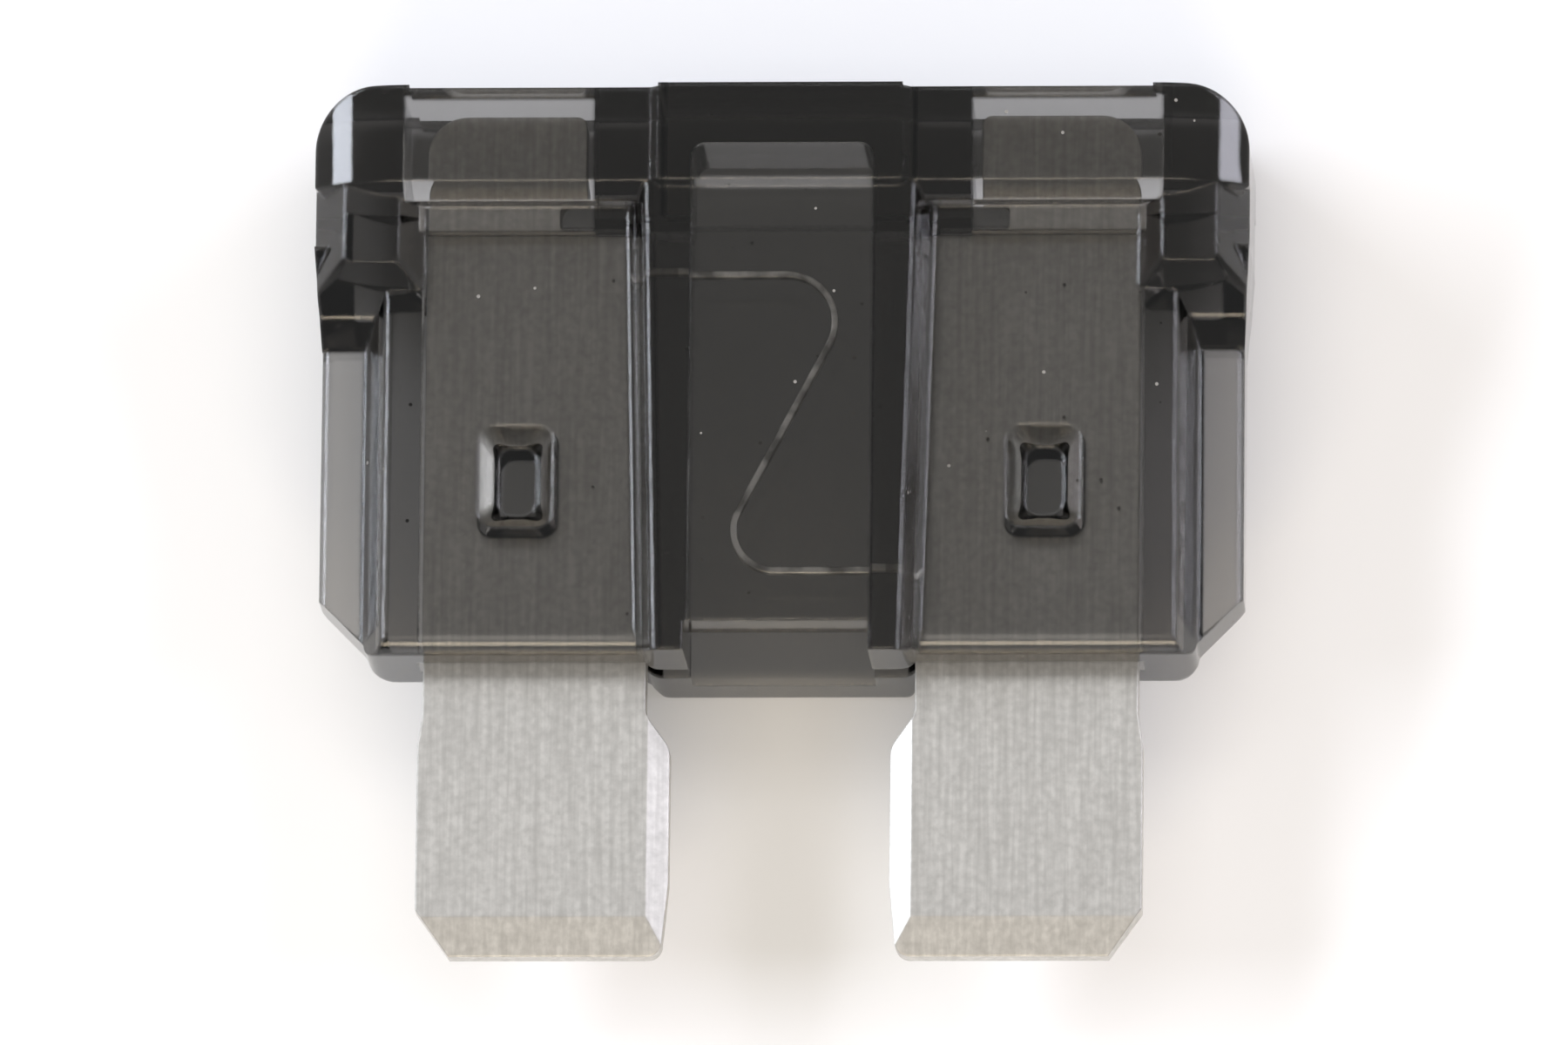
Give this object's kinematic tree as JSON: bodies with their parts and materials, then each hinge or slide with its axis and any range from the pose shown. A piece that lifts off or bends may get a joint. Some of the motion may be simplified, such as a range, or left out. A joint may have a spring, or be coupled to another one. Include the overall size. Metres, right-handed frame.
{
  "type": "blade fuse",
  "caption": "Regular size automotive blade fuse: smoke tinted moulded body with test slots, stamped zinc blades and a thin S shaped link seen through the window.",
  "frame": {"origin": "middle of the outer box in X and Y, at the height of the lowest point, which is the back of the flange", "axes": "The fuse lies on its back. +X across both blades, +Y from the blade tips to the flange, +Z out of the front face, up from the table"},
  "size_m": [0.019, 0.0178, 0.0051],
  "materials": {
    "housing_smoke_polycarbonate": "clear smoke grey tinted polycarbonate, injection moulded, polished",
    "element_zinc_alloy": "bare zinc alloy strip, stamped and coined, dull satin"
  },
  "bodies": {
    "root": {"housing": "housing_smoke_polycarbonate", "fuse_element": "element_zinc_alloy"}
  },
  "joints": []
}
